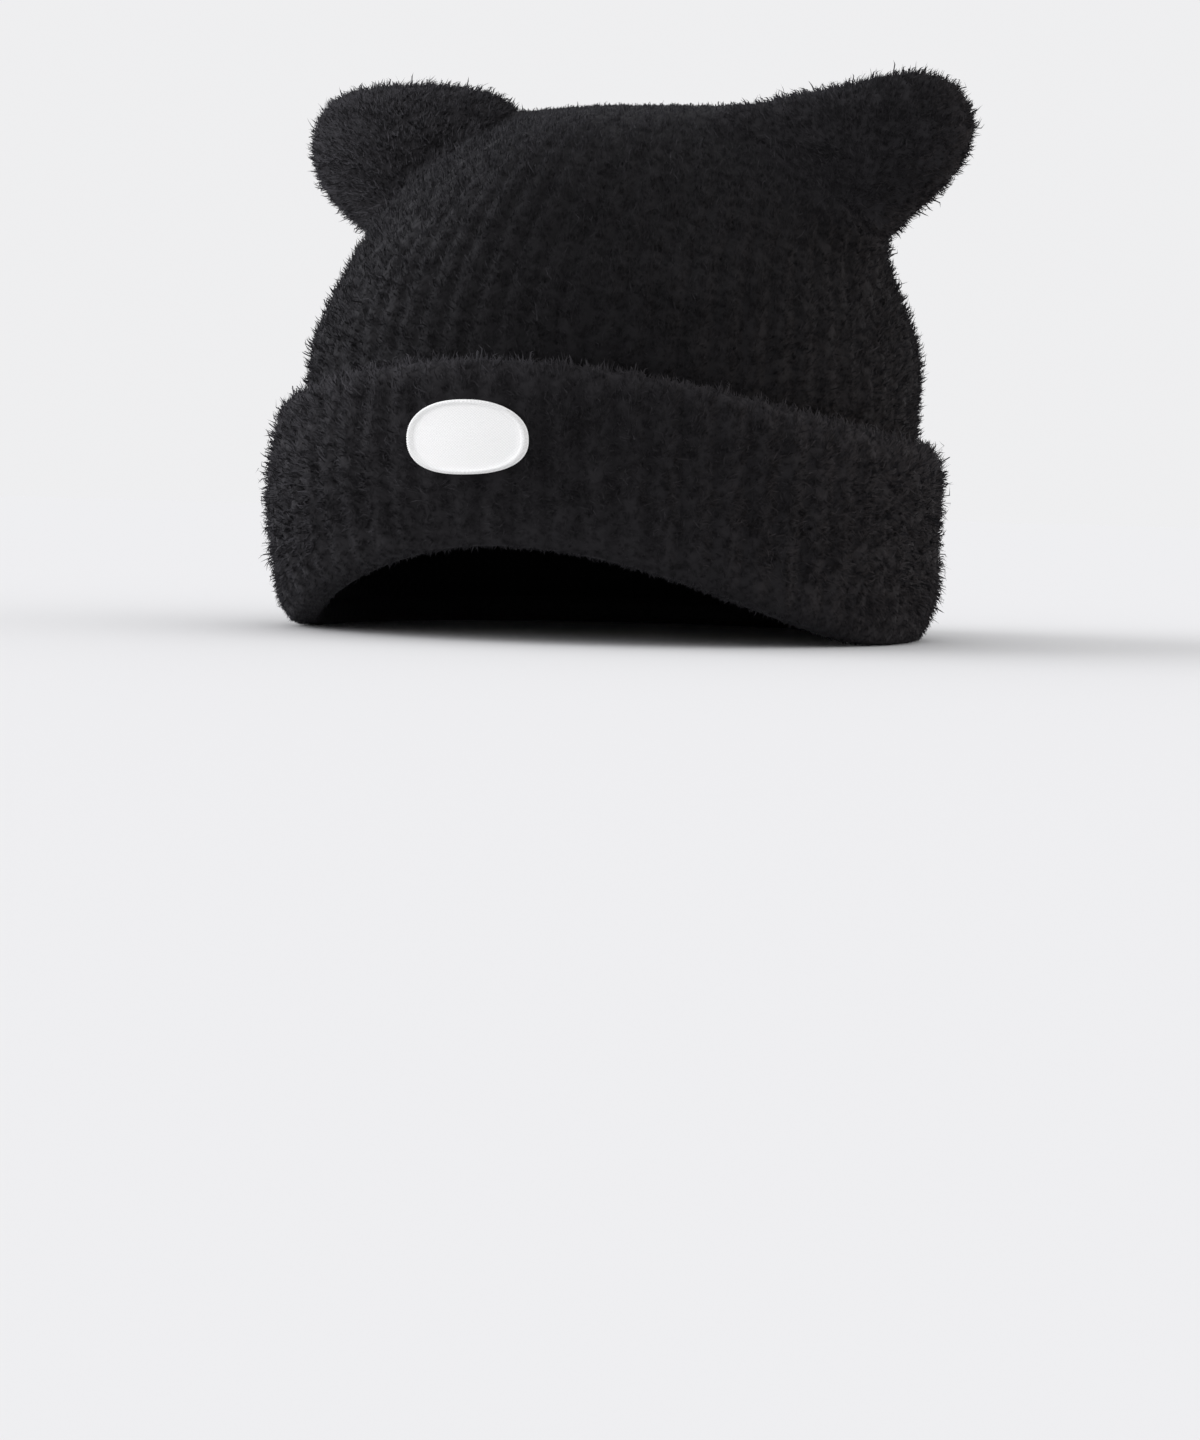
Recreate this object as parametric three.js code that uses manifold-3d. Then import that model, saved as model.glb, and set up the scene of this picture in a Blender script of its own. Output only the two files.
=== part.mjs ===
// A fuzzy rib-knit beanie with two soft ears, standing by itself on its turned-up cuff.
// Millimetres, +Z up. The front faces -Y, and the origin is on the floor under the middle of the hat.
import * as THREE from "three";
import { ParametricGeometry } from "three/addons/geometries/ParametricGeometry.js";
import { mergeVertices } from "three/addons/utils/BufferGeometryUtils.js";
import Module from "manifold-3d";

const wasm = await Module();
wasm.setup();

// Driving dimensions. The opening takes a head of about 56 cm round.
const OPENING_HALF_WIDTH = 82;
const OPENING_HALF_DEPTH = 95;
const KNIT_WALL = 4.5;
const HAT_HEIGHT = 160.5;
const CUFF_HEIGHT = 61;
const FOLD_DEPTH = 8;
const RIB_COUNT = 66;
const RIB_RELIEF = 0.7;
const SEAT_GAP = 0.3;
const GRID_STEPS_PER_MM = 1000;

// The cuff arches up off the floor across the front, most at a turn a little to the wearer's left,
// and the crown's front goes up with it. The lift fades out towards a height on the crown.
const FRONT_LIFT = 27;
const FRONT_LIFT_TOWARDS = THREE.MathUtils.degToRad(-82);
const FRONT_LIFT_SPREAD = THREE.MathUtils.degToRad(83);
const FRONT_LIFT_FADE_HEIGHT = 110;

// The top of the cuff slants: it is lowest towards this turn and highest opposite it.
const CUFF_SLANT = 5.2;
const CUFF_SLANT_TOWARDS = THREE.MathUtils.degToRad(80);

// The crown leans back as it rises from the cuff, by this much at the top.
const BACK_LEAN = 8;

// Facets round the hat: one on each rib's crest and one in each groove.
const FACETS = 2 * RIB_COUNT;
const FRONT = -Math.PI / 2;

// The crown's outside, section by section from its lower end to the seam along the top.
// grow_x and grow_y are how far a section stands outside the head opening.
// lens is how far its ends are pinched towards the ears, from 0, an oval, to 1, a pointed lens.
// rib is the section's share of the rib relief.
const CROWN_SECTIONS = table("height grow_x grow_y lens rib", [
  [FOLD_DEPTH + SEAT_GAP, KNIT_WALL, KNIT_WALL, 0, 0],
  [40, 6.5, 7.5, 0, 0],
  [CUFF_HEIGHT, 7.5, 9, 0, 0],
  [84, 6.5, 7.5, 0, 1],
  [100, 3, 3, 0.1, 1],
  [112, 0, -3, 0.25, 1],
  [121, -2, -9.5, 0.45, 1],
  [130, -6.5, -17.5, 0.65, 1],
  [139, -15, -27.5, 0.8, 0.9],
  [146.5, -24.5, -39, 0.85, 0.8],
  [153, -33, -53.5, 0.9, 0.6],
  [157.6, -39, -69, 0.9, 0.4],
  [HAT_HEIGHT - 0.6, -43, -84, 0.9, 0.2],
  [HAT_HEIGHT, -44.5, -OPENING_HALF_DEPTH, 0.9, 0],
]);
const ROWS_DOWN = [...CROWN_SECTIONS.keys()].reverse();
const TOP_ROW = ROWS_DOWN[0];
const LENS_POWER = 1.7;

// The hollow for the head, section by section from the open end to its ceiling.
const HOLLOW_SECTIONS = table("height half_width half_depth lens", [
  [FOLD_DEPTH + SEAT_GAP, OPENING_HALF_WIDTH, OPENING_HALF_DEPTH, 0],
  [CUFF_HEIGHT, 85, 99.5, 0],
  [100, 80, 92.5, 0.1],
  [121, 75.5, 79.5, 0.45],
  [136, 62.5, 63.5, 0.75],
  [146.2, 49.5, 47, 0.85],
  [152.6, 39.5, 29, 0.9],
  [156, 31, 0, 0.9],
]);

// The cuff's outline in one cut through its wall, from its crest down the outside, under the fold,
// up the pocket that holds the crown's lower end and up the inside.
// out is measured from the crown's outside, and rib is the share of the rib relief.
const CUFF_OUTLINE = table("height out rib", [
  [CUFF_HEIGHT, 4.4, 0.2],
  [58.4, 7.6, 0.8],
  [50, 9.4, 1],
  [36, 10.2, 1],
  [20, 10.2, 1],
  [7, 8.6, 1],
  [1.6, 6.2, 0.6],
  [0, 3.4, 0],
  [0, -2, 0],
  [2.6, -4, 0],
  [FOLD_DEPTH - 0.2, -KNIT_WALL, 0],
  [FOLD_DEPTH, 0.4, 0],
  [22, 3.6, 0],
  [44, 3.8, 0],
  [58.4, 1.4, 0],
]);

// The ears: plump rounded pouches on the crown's pinched shoulders, thicker towards their mouths.
// Each outline goes once round its ear, from the inner end of its upper edge.
// out is from the hat's middle, up is the height, and side is the way along X.
const EARS = [
  {
    name: "ear_right",
    side: -1,
    outline: table("out up", [
      [39.5, 157],
      [45, 164.5],
      [60, 168],
      [80, 169],
      [100.5, 166],
      [109, 155.5],
      [107.5, 141.5],
      [97, 129.5],
      [82, 121.5],
      [64, 129],
      [46, 145],
    ]),
  },
  {
    name: "ear_left",
    side: 1,
    outline: table("out up", [
      [34, 155],
      [46, 160.5],
      [62, 163],
      [80, 166.5],
      [95, 167.5],
      [105.5, 162],
      [109.5, 151],
      [104, 139],
      [93, 128.5],
      [81, 121],
      [64, 129],
      [46, 145],
    ]),
  },
];
const EAR_MIDDLE = { out: 77, up: 146 };
const EAR_HALF_THICKNESS = 14;
const EAR_TAPER_PER_MM = 0.007;
const EAR_EDGE_POWER = 2.2;
const EAR_WALL = 3.5;
const EAR_FACETS_ROUND = 24;
const EAR_FACETS_ACROSS = 8;

// The blank oval patch on the front of the cuff.
const PATCH = { width: 35.2, height: 24, thickness: 1.6, edge: 0.9, centreX: 6.7, centreHeight: 36 };
const PATCH_SQUARENESS = 2.3;
const PATCH_FACETS = 28;

// Materials: matt black yarn and plain white cloth.
const yarn = new THREE.MeshStandardMaterial({ color: 0x1d1c1f, roughness: 0.95, metalness: 0 });
const patchCloth = new THREE.MeshStandardMaterial({ color: 0xf6f5f2, roughness: 0.85, metalness: 0 });

// Rows of numbers as objects with the named columns.
function table(columns, rows) {
  const names = columns.split(" ");
  return rows.map((row) => Object.fromEntries(names.map((name, i) => [name, row[i]])));
}

// A power that keeps the sign, for rounded outlines between an ellipse and a rectangle.
function signedPower(value, power) {
  return Math.sign(value) * Math.abs(value) ** power;
}

// One column of a table at a place between its rows, on a smooth curve through them.
function columnAt(rows, column, place) {
  const last = rows.length - 1;
  const i = Math.min(Math.floor(place), last - 1);
  const t = place - i;
  const value = (k) => rows[Math.max(0, Math.min(last, k))][column];
  const [a, b, c, d] = [value(i - 1), value(i), value(i + 1), value(i + 2)];
  return b + 0.5 * t * (c - a + t * (2 * a - 5 * b + 4 * c - d + t * (3 * (b - c) + d - a)));
}

// The place in the crown's table, counted in rows, of a height under the top of the cuff.
function placeOfHeight(height) {
  const above = CROWN_SECTIONS.findIndex((row) => row.height >= height);
  if (above <= 0) return 0;
  const low = CROWN_SECTIONS[above - 1].height;
  return above - 1 + (height - low) / (CROWN_SECTIONS[above].height - low);
}

// The smallest turn between two directions round the hat.
function turnBetween(a, b) {
  return Math.abs(Math.atan2(Math.sin(a - b), Math.cos(a - b)));
}

// How far the hat's front is lifted at a turn and a height.
function lift(turn, height) {
  const share = Math.min(1, turnBetween(turn, FRONT_LIFT_TOWARDS) / FRONT_LIFT_SPREAD);
  const fade = Math.max(0, 1 - height / FRONT_LIFT_FADE_HEIGHT);
  return FRONT_LIFT * 0.5 * (1 + Math.cos(Math.PI * share)) * fade;
}

// How far the crown leans back at a height.
function back(height) {
  const share = (height - CUFF_HEIGHT) / (HAT_HEIGHT - CUFF_HEIGHT);
  return BACK_LEAN * Math.max(0, share) ** 2;
}

// How far the cuff is raised or lowered by its slant, from its fold up.
function slant(turn, height) {
  const share = Math.max(0, (height - FOLD_DEPTH) / (CUFF_HEIGHT - FOLD_DEPTH));
  return -CUFF_SLANT * share * Math.cos(turn - CUFF_SLANT_TOWARDS);
}

// A point of an oval or lens section at a turn.
function sectionPoint(turn, halfWidth, halfDepth, lens, height) {
  const oval = Math.abs(Math.sin(turn));
  const pointed = 1 - Math.abs(Math.cos(turn)) ** LENS_POWER;
  const depthShare = Math.sign(Math.sin(turn)) * THREE.MathUtils.lerp(oval, pointed, lens);
  return new THREE.Vector3(
    halfWidth * Math.cos(turn),
    halfDepth * depthShare + back(height),
    height + lift(turn, height),
  );
}

// A point of the crown's outside in one row of its table, moved outwards by grow.
// ribs goes from 0, smooth, to 1, and they fade towards the pinched ends of a lens.
// The top row closes into a straight seam.
function crownPoint(turn, row, grow = 0, ribs = 1) {
  const section = CROWN_SECTIONS[row];
  const spread = THREE.MathUtils.lerp(1, Math.abs(Math.sin(turn)), section.lens);
  const out = grow + ribs * RIB_RELIEF * section.rib * spread * Math.cos(RIB_COUNT * turn);
  const halfWidth = OPENING_HALF_WIDTH + section.grow_x + out;
  const halfDepth = row === TOP_ROW ? 0 : OPENING_HALF_DEPTH + section.grow_y + out;
  return sectionPoint(turn, halfWidth, halfDepth, section.lens, section.height);
}

// A point of the crown's inside in one row of the hollow's table.
function hollowPoint(turn, section) {
  return sectionPoint(turn, section.half_width, section.half_depth, section.lens, section.height);
}

// A point of the cuff: out is measured square to the crown's oval at that height.
function cuffPoint(turn, height, out) {
  const place = placeOfHeight(height);
  const halfWidth = OPENING_HALF_WIDTH + columnAt(CROWN_SECTIONS, "grow_x", place);
  const halfDepth = OPENING_HALF_DEPTH + columnAt(CROWN_SECTIONS, "grow_y", place);
  const square = new THREE.Vector2(halfDepth * Math.cos(turn), halfWidth * Math.sin(turn)).normalize();
  return new THREE.Vector3(
    halfWidth * Math.cos(turn) + out * square.x,
    halfDepth * Math.sin(turn) + out * square.y,
    height + lift(turn, height) + slant(turn, height),
  );
}

// A closed surface through a list of rings, each a function from a turn to a point.
function loft(rings, facets) {
  const geometry = new ParametricGeometry(
    (u, v, target) => onGrid(target.copy(rings[Math.round(v * (rings.length - 1))]((1 - u) * 2 * Math.PI))),
    facets,
    rings.length - 1,
  );
  return welded(geometry);
}

// A point moved to the nearest step of a fine grid, so that points which meet are equal.
function onGrid(point) {
  return point.multiplyScalar(GRID_STEPS_PER_MM).round().divideScalar(GRID_STEPS_PER_MM);
}

// Only the positions of a geometry, with the vertices that meet merged.
// Triangles that have shrunk to a line are left out.
function welded(geometry) {
  geometry.deleteAttribute("normal");
  geometry.deleteAttribute("uv");
  const merged = mergeVertices(geometry);
  const corners = merged.index.array;
  const kept = [];
  for (let i = 0; i < corners.length; i += 3) {
    const [a, b, c] = corners.slice(i, i + 3);
    if (a !== b && b !== c && c !== a) kept.push(a, b, c);
  }
  return merged.setIndex(kept);
}

// A welded geometry as a solid for cutting, and a cut solid as a geometry again.
function toSolid(geometry) {
  const vertProperties = geometry.getAttribute("position").array;
  const triVerts = new Uint32Array(geometry.index.array);
  return new wasm.Manifold(new wasm.Mesh({ numProp: 3, vertProperties, triVerts }));
}

function toGeometry(solid) {
  const { vertProperties, triVerts } = solid.getMesh();
  const geometry = new THREE.BufferGeometry();
  geometry.setAttribute("position", new THREE.BufferAttribute(vertProperties, 3));
  geometry.setIndex(new THREE.BufferAttribute(triVerts, 1));
  return geometry;
}

// The crown: a knitted tube, open below and closed by a straight seam along the top.
function crownGeometry() {
  const outside = ROWS_DOWN.map((row) => (turn) => crownPoint(turn, row));
  const inside = HOLLOW_SECTIONS.map((section) => (turn) => hollowPoint(turn, section));
  return loft([...outside, ...inside], FACETS);
}

// The cuff: the tube's lower end turned up outside the crown, flat where the fold rests.
function cuffGeometry() {
  const rings = CUFF_OUTLINE.map(({ height, out, rib }) => (turn) =>
    cuffPoint(turn, height, out + rib * RIB_RELIEF * Math.cos(RIB_COUNT * turn)),
  );
  return loft([...rings, rings[0]], FACETS);
}

// All the room that the crown takes, with a small gap round it, as one filled solid.
function crownRoom() {
  const grow = RIB_RELIEF + SEAT_GAP;
  const sides = ROWS_DOWN.map((row) => (turn) => crownPoint(turn, row, grow, 0));
  const top = (turn) => crownPoint(turn, TOP_ROW, grow, 0).setZ(HAT_HEIGHT + grow);
  const bottom = (turn) => crownPoint(turn, 0, grow, 0).setY(0).setZ(FOLD_DEPTH);
  return toSolid(loft([top, ...sides.slice(1), bottom], RIB_COUNT));
}

// One ear's outer or inner skin, shrunk by inset.
function earSkin(ear, inset) {
  const rim = new THREE.CatmullRomCurve3(ear.outline.map(({ out, up }) => new THREE.Vector3(out, 0, up)));
  rim.closed = true;
  const middle = new THREE.Vector3(EAR_MIDDLE.out, 0, EAR_MIDDLE.up);
  const skin = new ParametricGeometry(
    (u, v, target) => {
      const lean = Math.PI * v;
      const share = signedPower(Math.sin(lean), 2 / EAR_EDGE_POWER);
      const reach = rim.getPoint(u).sub(middle);
      reach.setLength((reach.length() - inset) * share);
      const thickness = EAR_HALF_THICKNESS * (1 - EAR_TAPER_PER_MM * reach.x) - inset;
      const across = -ear.side * thickness * signedPower(Math.cos(lean), 2 / EAR_EDGE_POWER);
      target.set(ear.side * (middle.x + reach.x), across + back(middle.z), middle.z + reach.z);
      onGrid(target);
    },
    EAR_FACETS_ROUND,
    EAR_FACETS_ACROSS,
  );
  return toSolid(welded(skin));
}

// An ear: a hollow pouch, open only where its mouth sits on the crown.
function earGeometry(ear, room) {
  return toGeometry(earSkin(ear, 0).subtract(earSkin(ear, EAR_WALL)).subtract(room));
}

// The patch: a thin oval that follows the front of the cuff, clear of the ribs' crests.
function patchGeometry() {
  const seat = Math.max(...CUFF_OUTLINE.map((row) => row.out)) + RIB_RELIEF + SEAT_GAP;
  const onCuff = (share, out) => (turn) => {
    const x = PATCH.centreX + 0.5 * PATCH.width * share * signedPower(Math.cos(turn), 2 / PATCH_SQUARENESS);
    const rise = 0.5 * PATCH.height * share * signedPower(Math.sin(turn), 2 / PATCH_SQUARENESS);
    const height = PATCH.centreHeight + rise;
    const girth = OPENING_HALF_WIDTH + columnAt(CROWN_SECTIONS, "grow_x", placeOfHeight(height)) + seat;
    return cuffPoint(FRONT + Math.asin(x / girth), height, seat + out);
  };
  const inner = 1 - PATCH.edge / (0.5 * PATCH.height);
  const rings = [
    onCuff(0, PATCH.thickness),
    onCuff(0.5, PATCH.thickness),
    onCuff(inner, PATCH.thickness),
    onCuff(1, 0.5 * PATCH.thickness),
    onCuff(inner, 0),
    onCuff(0.5, 0),
    onCuff(0, 0),
  ];
  return loft(rings, PATCH_FACETS);
}

// One named piece of the hat.
function piece(name, geometry, material) {
  geometry.computeVertexNormals();
  const mesh = new THREE.Mesh(geometry, material);
  mesh.name = name;
  return mesh;
}

const room = crownRoom();
const beanie = new THREE.Group();
beanie.name = "beanie";
beanie.add(
  piece("crown", crownGeometry(), yarn),
  piece("cuff", cuffGeometry(), yarn),
  ...EARS.map((ear) => piece(ear.name, earGeometry(ear, room), yarn)),
  piece("patch", patchGeometry(), patchCloth),
);

export default beanie;
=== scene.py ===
import math

import bmesh
import bpy
import numpy as np
from mathutils import Matrix, Vector


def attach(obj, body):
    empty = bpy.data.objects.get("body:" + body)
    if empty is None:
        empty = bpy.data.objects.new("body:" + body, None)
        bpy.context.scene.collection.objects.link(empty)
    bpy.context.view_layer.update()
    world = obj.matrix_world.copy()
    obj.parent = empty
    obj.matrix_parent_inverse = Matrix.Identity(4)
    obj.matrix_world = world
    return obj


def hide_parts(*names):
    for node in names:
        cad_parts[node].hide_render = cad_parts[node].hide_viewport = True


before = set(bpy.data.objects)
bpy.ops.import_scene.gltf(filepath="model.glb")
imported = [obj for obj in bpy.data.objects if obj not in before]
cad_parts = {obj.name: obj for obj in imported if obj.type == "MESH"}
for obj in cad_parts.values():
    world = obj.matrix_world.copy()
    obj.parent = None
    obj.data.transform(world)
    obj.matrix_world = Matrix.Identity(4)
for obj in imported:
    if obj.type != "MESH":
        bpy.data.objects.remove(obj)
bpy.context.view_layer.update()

# A fuzzy black rib-knit beanie with two soft ears, standing by itself on its turned-up cuff.
# The shapes are worked out in millimetres, in the frame's axes, and become metres in the meshes.
MM = 0.001
WELD_DISTANCE = 0.000001
SMALLEST_LENGTH = 1e-9
RANDOM = np.random.default_rng(8152)
QUICK_THINNING = 1


def table(columns, rows):
    """Rows of numbers as one array for each named column."""
    return {name: np.array(values, float) for name, values in zip(columns.split(), zip(*rows))}


# The hat's sizes, as in the CAD.
OPENING_HALF_WIDTH = 82
OPENING_HALF_DEPTH = 95
KNIT_WALL = 4.5
HAT_HEIGHT = 160.5
CUFF_HEIGHT = 61
FOLD_DEPTH = 8
SEAT_GAP = 0.3
FRONT = -math.pi / 2
FRONT_LIFT = 27
FRONT_LIFT_TOWARDS = math.radians(-82)
FRONT_LIFT_SPREAD = math.radians(83)
FRONT_LIFT_FADE_HEIGHT = 110
BACK_LEAN = 8
CUFF_SLANT = 5.2
CUFF_SLANT_TOWARDS = math.radians(80)
LENS_POWER = 1.7
SEAM_DEPTH = 0.01

# The crown's outside from its lower end to the seam along the top.
CROWN = table("height grow_x grow_y lens rib", [
    (FOLD_DEPTH + SEAT_GAP, KNIT_WALL, KNIT_WALL, 0, 0),
    (40, 6.5, 7.5, 0, 0),
    (CUFF_HEIGHT, 7.5, 9, 0, 0.4),
    (84, 6.5, 7.5, 0, 1),
    (100, 3, 3, 0.1, 1),
    (112, 0, -3, 0.25, 1),
    (121, -2, -9.5, 0.45, 1),
    (130, -6.5, -17.5, 0.65, 1),
    (139, -15, -27.5, 0.8, 0.9),
    (146.5, -24.5, -39, 0.85, 0.8),
    (153, -33, -53.5, 0.9, 0.6),
    (157.6, -39, -69, 0.9, 0.4),
    (HAT_HEIGHT - 0.6, -43, -84, 0.9, 0.2),
    (HAT_HEIGHT, -44.5, -OPENING_HALF_DEPTH, 0.9, 0),
])

# The hollow for the head, from the open end to its ceiling.
HOLLOW = table("height half_width half_depth lens", [
    (FOLD_DEPTH + SEAT_GAP, OPENING_HALF_WIDTH, OPENING_HALF_DEPTH, 0),
    (CUFF_HEIGHT, 85, 99.5, 0),
    (100, 80, 92.5, 0.1),
    (121, 75.5, 79.5, 0.45),
    (136, 62.5, 63.5, 0.75),
    (146.2, 49.5, 47, 0.85),
    (152.6, 39.5, 29, 0.9),
    (156, 31, 0, 0.9),
])

# One cut through the cuff's wall: from its crest down the outside and under the fold,
# then up the pocket for the crown's lower end and up the inside.
CUFF = table("height out rib", [
    (CUFF_HEIGHT, 4.4, 0.2),
    (58.4, 7.6, 0.8),
    (50, 9.4, 1),
    (36, 10.2, 1),
    (20, 10.2, 1),
    (7, 8.6, 1),
    (1.6, 6.2, 0.6),
    (0, 3.4, 0),
    (0, -2, 0),
    (2.6, -4, 0),
    (FOLD_DEPTH - 0.2, -KNIT_WALL, 0),
    (FOLD_DEPTH, 0.4, 0),
    (22, 3.6, 0),
    (44, 3.8, 0),
    (58.4, 1.4, 0),
])
CUFF_ROUNDED_ROWS = 8
CUFF_CREST_OUT = CUFF["out"][0]
CUFF_BULGE = CUFF["out"].max()

# The ears' outlines, each once round from the inner end of its upper edge.
EARS = {
    "ear_right": (-1, table("out up", [
        (39.5, 157), (45, 164.5), (60, 168), (80, 169), (100.5, 166), (109, 155.5),
        (107.5, 141.5), (97, 129.5), (82, 121.5), (64, 129), (46, 145),
    ])),
    "ear_left": (1, table("out up", [
        (34, 155), (46, 160.5), (62, 163), (80, 166.5), (95, 167.5), (105.5, 162),
        (109.5, 151), (104, 139), (93, 128.5), (81, 121), (64, 129), (46, 145),
    ])),
}
EAR_MIDDLE_OUT = 77
EAR_MIDDLE_UP = 146
EAR_HALF_THICKNESS = 14
EAR_TAPER_PER_MM = 0.007
EAR_EDGE_POWER = 2.2
EAR_PILE_OVERLAP = 0.5

# How the crown and the ears run together: a fillet at the front and at the back,
# and a swell of the crown under the ears.
EAR_FILLET = 28
EAR_ROOT_SWELL = 3.2
EAR_ROOT_HEIGHT = 122
EAR_ROOT_REACH = 9
EAR_ROOT_DEPTH = 18
OVER_EDGE_STEEPNESS = 2

# The slack of the soft knit at heights. sideways is how far it hangs to the wearer's left,
# or to the right if below 0, and swell is how far it stands out at both sides.
CROWN_SLACK = table("height sideways swell", [
    (CUFF_HEIGHT, 0.4, 0),
    (75, 1.5, 0),
    (95, 1.5, 0),
    (112, 0, 0),
])
CUFF_SLACK = table("height sideways swell", [
    (0, -0.6, 1.6),
    (12, -1.2, 1.6),
    (34, -2.2, 0.6),
    (52, 0.5, -0.3),
    (CUFF_HEIGHT, 0.6, -0.6),
])

# Slow waves over the soft knit. size is how far a wave stands out, around is how many go round the hat,
# rise is what a millimetre of height adds to its phase, and start is its phase at the floor.
SOFT_WAVES = table("size around rise start", [
    (0.5, 3, 0.05, 0),
    (0.4, 5, -0.08, 1),
    (0.3, 9, 0.11, 2),
])
WAVES_EASE = 12
CUFF_WAVES_FROM = 4

# The knit: soft ribs that turn a little round the hat as they rise, each two wales wide.
RIB_COUNT = 66
RIB_WIDTH = 9
RIB_RELIEF = 0.5
RIB_EDGE = 3
RIB_TWIST = 0.09
STITCH_HEIGHT = 3.2
WALES_PER_RIB = 2
KNIT_BUMP_STRENGTH = 0.25
KNIT_BUMP_DEPTH = 0.0006

# How finely the skins are made.
SAMPLES_PER_RIB = 6
CROWN_ROWS = 79
HOLLOW_ROWS = 22
CUFF_ROWS = 57
CUTTER_STEP = 2
EAR_AROUND = 96
EAR_ACROSS = 40
TURNS = np.arange(RIB_COUNT * SAMPLES_PER_RIB) * 2 * np.pi / (RIB_COUNT * SAMPLES_PER_RIB)
CROWN_PLACES = np.linspace(len(CROWN["height"]) - 1, 0, CROWN_ROWS)
HOLLOW_PLACES = np.linspace(0, len(HOLLOW["height"]) - 1, HOLLOW_ROWS)

# The blank patch on the front of the cuff.
PATCH_WIDTH = 35.2
PATCH_HEIGHT = 24
PATCH_THICKNESS = 1.2
PATCH_EDGE_THICKNESS = 1.9
PATCH_EDGE_SHARE = 0.88
PATCH_CENTRE_X = 6.7
PATCH_CENTRE_HEIGHT = 36
PATCH_SQUARENESS = 2.3
PATCH_RIB_ROOM = 0.7
PATCH_SEAT = CUFF_BULGE + PATCH_RIB_ROOM + SEAT_GAP
PATCH_FACE_ROWS = 12
PATCH_EDGE_ROWS = 9
PATCH_CENTRE_SHARE = 0.002
PATCH_UNDER_SHARES = (0.97, 0.5, PATCH_CENTRE_SHARE)
PATCH_TURN_UNDER = 0.75 * math.pi
PATCH_SIDE_THICKNESS = 0.6 * PATCH_THICKNESS
PATCH_STITCHES = 120
SAMPLES_PER_PATCH_STITCH = 4
PATCH_THREAD = 0.16
PATCH_THREAD_SLANT = 4
PATCH_WEAVE = 0.9
# The cloth's colour, with painted shade where the weave sinks.
PATCH_WEAVE_SHADED = (0.88, 0.88, 0.87)
PATCH_WEAVE_LIT = (0.97, 0.97, 0.965)
PATCH_ROUGHNESS = 0.85
PATCH_BUMP_STRENGTH = 0.4
PATCH_BUMP_DEPTH = 0.0002

# The pile: tufts of fine tapered hairs, in each a long one that stands up and several short ones.
# lean is how far the tufts lie over, from 0, upright, to 1, flat.
PILE = {
    "crown": dict(tufts=36000, long_hairs=1, short_hairs=7, length=2.8, lean=0.82),
    "cuff": dict(tufts=28000, long_hairs=1, short_hairs=7, length=3.2, lean=0.8),
    "ears": dict(tufts=12000, long_hairs=1, short_hairs=7, length=3, lean=0.82),
}
TUFT_RADIUS = 1.2
TUFT_WANDER = 0.24
ROOT_DEPTH = 0.5
TIP_GATHER = 0.4
LONG_HAIR_RISE = 0.75
LONG_HAIR_SHARE = 0.85
SHORT_HAIR_SHARE = 0.62
LONG_HAIR_WIDTH = 0.42
SHORT_HAIR_WIDTH = 0.46
SHORT_HAIR_TURN = 0.4
HAIR_STRAY = 0.26
HAIR_CURL = 0.2
HAIR_ARCH = 0.14
BEND_WIDTH_SHARE = 0.8
LAY_NUDGE = 0.01
RIB_EXTRA_LENGTH = 0.15
FLOOR_CLEARANCE = 0.3
BEHIND_CREST = 6

# Shares of a tuft's lean, a tuft's length and a hair's length: the least, and the most that chance adds.
LEAN_LEAST = 0.8
LEAN_CHANCE = 0.4
TUFT_LEAST = 0.75
TUFT_CHANCE = 0.35
HAIR_LEAST = 0.7
HAIR_CHANCE = 0.6

# Where the pile is trimmed: the heights, and the share of its length that it keeps.
SEAM_TRIM_HEIGHTS = (148, 158)
SEAM_TRIM = 0.5
FOLD_TRIM_HEIGHTS = (2, 14)
FOLD_TRIM = 0.45

# Which way the pile is brushed and which way it faces the light.
PARTING_HEIGHT = 34
PARTING_SPREAD = 26
EAR_BRUSHED_UP = 16
EAR_BLEND = 14
EAR_FACES_OUT = 0.8
EAR_FACES_UP = 0.5
FRONT_FACES_UP = 0.35
SHADE_FACING = 0.8
SHADE_LAY = 0.2
SHADE_STRAY = 0.35

# A hair's points in a square of its own on the pile's map. A long hair has two points at its root, two at
# its bend and a tip, and a short hair has no bend.
LONG_HAIR_MAP = ((0.1, 0.1), (0.9, 0.1), (0.2, 0.5), (0.8, 0.5), (0.5, 0.9))
LONG_HAIR_FACES = ((0, 1, 3), (0, 3, 2), (2, 3, 4))
SHORT_HAIR_MAP = ((0.1, 0.1), (0.9, 0.1), (0.5, 0.9))

# The yarn's colour at tones of 0, 0.5 and 1, and its dull gloss.
YARN_DARK = (0.0052, 0.0049, 0.0055)
YARN_MID = (0.0145, 0.0137, 0.0152)
YARN_LIGHT = (0.037, 0.0352, 0.0386)
YARN_ROUGHNESS = 0.8
YARN_SPECULAR = 0.1
YARN_SHEEN = 0.03
YARN_SHEEN_ROUGHNESS = 0.45
YARN_SHEEN_TINT = (0.85, 0.85, 0.95)

# The yarn's tone, from 0, the darkest, to 1, the lightest, and what changes it. The crown, the cuff and
# the ears are one black yarn, and their tones differ only as painted light and shade: the crown is
# painted darker, the cuff and the ears lighter.
CROWN_PAINTED_SHADE_TONE = 0.27
CUFF_PAINTED_LIGHT_TONE = 0.57
EAR_PAINTED_LIGHT_TONE = 0.63
TUFT_TONE_SPREAD = 0.09
HAIR_TONE_SPREAD = 0.1
# Painted shade: the ribs' grooves are painted darker than their crests.
RIB_PAINTED_SHADE = 0.03
# Painted shade where the knit's stitches sink.
STITCH_PAINTED_SHADE = 0.06
# Painted highlight along the cuff's crest, and how far below the crest it fades out.
CREST_PAINTED_HIGHLIGHT = 0.22
CREST_HIGHLIGHT_DEPTH = 9
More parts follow.
